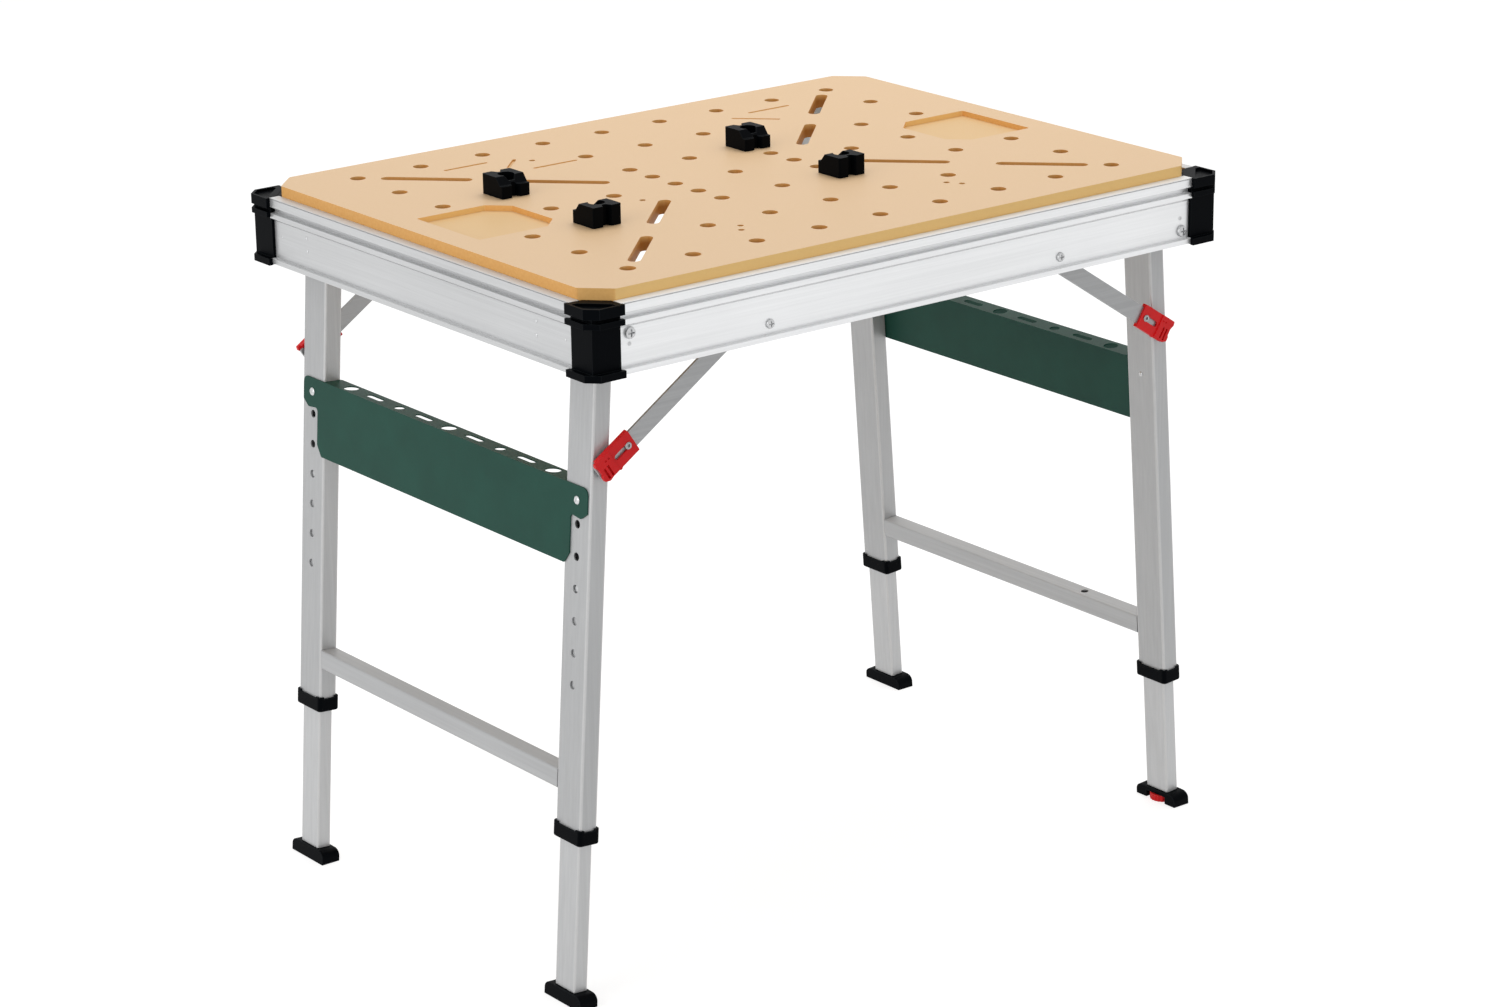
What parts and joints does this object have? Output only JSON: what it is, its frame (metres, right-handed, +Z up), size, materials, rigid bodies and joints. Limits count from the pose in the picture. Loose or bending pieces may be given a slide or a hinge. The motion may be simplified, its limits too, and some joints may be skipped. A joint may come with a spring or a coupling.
{
  "type": "folding workbench",
  "caption": "Folding workbench: a perforated board in an aluminium frame on splayed, height-adjustable legs with locking struts, tool panels and lift-out dogs.",
  "frame": {"origin": "on the floor under the middle of the bench", "axes": "+X along the long side, +Y to the back, +Z up"},
  "size_m": [1.0233, 0.743, 0.9293],
  "materials": {
    "board": "smooth-sanded fibreboard with a film face",
    "aluminium": "satin anodised extrusion",
    "steel": "zinc-plated",
    "green_paint": "satin powder coat",
    "black_plastic": "fine moulded texture",
    "red_plastic": "smooth moulding"
  },
  "bodies": {
    "bench_top": {"worktop": "board", "front_rail": "aluminium", "back_rail": "aluminium", "left_rail": "aluminium", "right_rail": "aluminium", "corner_cap_front_left": "black_plastic", "leg_bolt_front_left": "steel", "strut_bolt_front_left": "steel", "corner_cap_front_right": "black_plastic", "leg_bolt_front_right": "steel", "strut_bolt_front_right": "steel", "corner_cap_back_left": "black_plastic", "leg_bolt_back_left": "steel", "strut_bolt_back_left": "steel", "corner_cap_back_right": "black_plastic", "leg_bolt_back_right": "steel", "strut_bolt_back_right": "steel"},
    "left_legs": {"crossbar_left": "aluminium", "tool_panel_left": "green_paint", "upper_leg_front_left": "aluminium", "leg_collar_front_left": "black_plastic", "hook_bolt_front_left": "steel", "upper_leg_back_left": "aluminium", "leg_collar_back_left": "black_plastic", "hook_bolt_back_left": "steel"},
    "right_legs": {"crossbar_right": "aluminium", "tool_panel_right": "green_paint", "upper_leg_front_right": "aluminium", "leg_collar_front_right": "black_plastic", "hook_bolt_front_right": "steel", "upper_leg_back_right": "aluminium", "leg_collar_back_right": "black_plastic", "hook_bolt_back_right": "steel"},
    "inner_leg_front_left": {"inner_leg_front_left": "aluminium", "foot_front_left": "black_plastic"},
    "height_button_front_left": {"height_button_front_left": "steel"},
    "strut_front_left": {"strut_front_left": "aluminium"},
    "lock_front_left": {"lock_front_left": "red_plastic"},
    "inner_leg_front_right": {"inner_leg_front_right": "aluminium", "foot_front_right": "black_plastic"},
    "height_button_front_right": {"height_button_front_right": "steel"},
    "strut_front_right": {"strut_front_right": "aluminium"},
    "lock_front_right": {"lock_front_right": "red_plastic"},
    "inner_leg_back_left": {"inner_leg_back_left": "aluminium", "foot_back_left": "black_plastic"},
    "height_button_back_left": {"height_button_back_left": "steel"},
    "strut_back_left": {"strut_back_left": "aluminium"},
    "lock_back_left": {"lock_back_left": "red_plastic"},
    "inner_leg_back_right": {"inner_leg_back_right": "aluminium", "foot_back_right": "black_plastic"},
    "height_button_back_right": {"height_button_back_right": "steel"},
    "strut_back_right": {"strut_back_right": "aluminium"},
    "lock_back_right": {"lock_back_right": "red_plastic"},
    "levelling_wheel": {"levelling_wheel": "red_plastic"},
    "bench_dog_front_left": {"bench_dog_front_left": "black_plastic"},
    "bench_dog_back_left": {"bench_dog_back_left": "black_plastic"},
    "bench_dog_front_right": {"bench_dog_front_right": "black_plastic"},
    "bench_dog_back_right": {"bench_dog_back_right": "black_plastic"}
  },
  "joints": [
    {"name": "left_leg_fold", "type": "hinge", "parent": "bench_top", "child": "left_legs", "pos_m": [-0.43709, 0, 0.851], "axis": [0, -1, 0], "range_deg": [0, 94]},
    {"name": "right_leg_fold", "type": "hinge", "parent": "bench_top", "child": "right_legs", "pos_m": [0.43918, 0, 0.821], "axis": [0, 1, 0], "range_deg": [0, 94]},
    {"name": "leg_slide_front_left", "type": "slide", "parent": "left_legs", "child": "inner_leg_front_left", "axis": [0.0698, 0, 0.9976], "range_m": [-0.12, 0.08]},
    {"name": "button_press_front_left", "type": "slide", "parent": "inner_leg_front_left", "child": "height_button_front_left", "axis": [0.9976, 0, -0.0698], "range_m": [0, 0.003], "stiffness_N_per_m": 600, "springref_m": -0.002},
    {"name": "strut_swing_front_left", "type": "hinge", "parent": "bench_top", "child": "strut_front_left", "pos_m": [-0.231, 0, 0.823], "axis": [0, -1, 0], "range_deg": [0, 156]},
    {"name": "lock_slide_front_left", "type": "slide", "parent": "strut_front_left", "child": "lock_front_left", "axis": [0.8348, 0, 0.5505], "range_m": [0, 0.02]},
    {"name": "leg_slide_front_right", "type": "slide", "parent": "right_legs", "child": "inner_leg_front_right", "axis": [-0.0698, 0, 0.9976], "range_m": [-0.12, 0.08]},
    {"name": "button_press_front_right", "type": "slide", "parent": "inner_leg_front_right", "child": "height_button_front_right", "axis": [-0.9976, 0, -0.0698], "range_m": [0, 0.003], "stiffness_N_per_m": 600, "springref_m": -0.002},
    {"name": "strut_swing_front_right", "type": "hinge", "parent": "bench_top", "child": "strut_front_right", "pos_m": [0.231, 0, 0.823], "axis": [0, 1, 0], "range_deg": [0, 146.7]},
    {"name": "lock_slide_front_right", "type": "slide", "parent": "strut_front_right", "child": "lock_front_right", "axis": [-0.8348, 0, 0.5505], "range_m": [0, 0.02]},
    {"name": "leg_slide_back_left", "type": "slide", "parent": "left_legs", "child": "inner_leg_back_left", "axis": [0.0698, 0, 0.9976], "range_m": [-0.12, 0.08]},
    {"name": "button_press_back_left", "type": "slide", "parent": "inner_leg_back_left", "child": "height_button_back_left", "axis": [0.9976, 0, -0.0698], "range_m": [0, 0.003], "stiffness_N_per_m": 600, "springref_m": -0.002},
    {"name": "strut_swing_back_left", "type": "hinge", "parent": "bench_top", "child": "strut_back_left", "pos_m": [-0.231, 0, 0.823], "axis": [0, -1, 0], "range_deg": [0, 156]},
    {"name": "lock_slide_back_left", "type": "slide", "parent": "strut_back_left", "child": "lock_back_left", "axis": [0.8348, 0, 0.5505], "range_m": [0, 0.02]},
    {"name": "leg_slide_back_right", "type": "slide", "parent": "right_legs", "child": "inner_leg_back_right", "axis": [-0.0698, 0, 0.9976], "range_m": [-0.12, 0.08]},
    {"name": "button_press_back_right", "type": "slide", "parent": "inner_leg_back_right", "child": "height_button_back_right", "axis": [-0.9976, 0, -0.0698], "range_m": [0, 0.003], "stiffness_N_per_m": 600, "springref_m": -0.002},
    {"name": "strut_swing_back_right", "type": "hinge", "parent": "bench_top", "child": "strut_back_right", "pos_m": [0.231, 0, 0.823], "axis": [0, 1, 0], "range_deg": [0, 146.7]},
    {"name": "lock_slide_back_right", "type": "slide", "parent": "strut_back_right", "child": "lock_back_right", "axis": [-0.8348, 0, 0.5505], "range_m": [0, 0.02]},
    {"name": "levelling_wheel_turn", "type": "hinge", "parent": "inner_leg_front_right", "child": "levelling_wheel", "pos_m": [0.49624, -0.289, 0.0051], "axis": [0, 0, 1], "continuous": true},
    {"name": "dog_lift_front_left", "type": "slide", "parent": "bench_top", "child": "bench_dog_front_left", "axis": [0, 0, 1], "range_m": [0, 0.06]},
    {"name": "dog_lift_back_left", "type": "slide", "parent": "bench_top", "child": "bench_dog_back_left", "axis": [0, 0, 1], "range_m": [0, 0.06]},
    {"name": "dog_lift_front_right", "type": "slide", "parent": "bench_top", "child": "bench_dog_front_right", "axis": [0, 0, 1], "range_m": [0, 0.06]},
    {"name": "dog_lift_back_right", "type": "slide", "parent": "bench_top", "child": "bench_dog_back_right", "axis": [0, 0, 1], "range_m": [0, 0.06]}
  ],
  "couplings": [
    {"joint": "strut_swing_front_left", "follows": "left_leg_fold", "ratio": 1.6585},
    {"joint": "strut_swing_front_right", "follows": "right_leg_fold", "ratio": 1.5596},
    {"joint": "strut_swing_back_left", "follows": "left_leg_fold", "ratio": 1.6585},
    {"joint": "strut_swing_back_right", "follows": "right_leg_fold", "ratio": 1.5596}
  ]
}
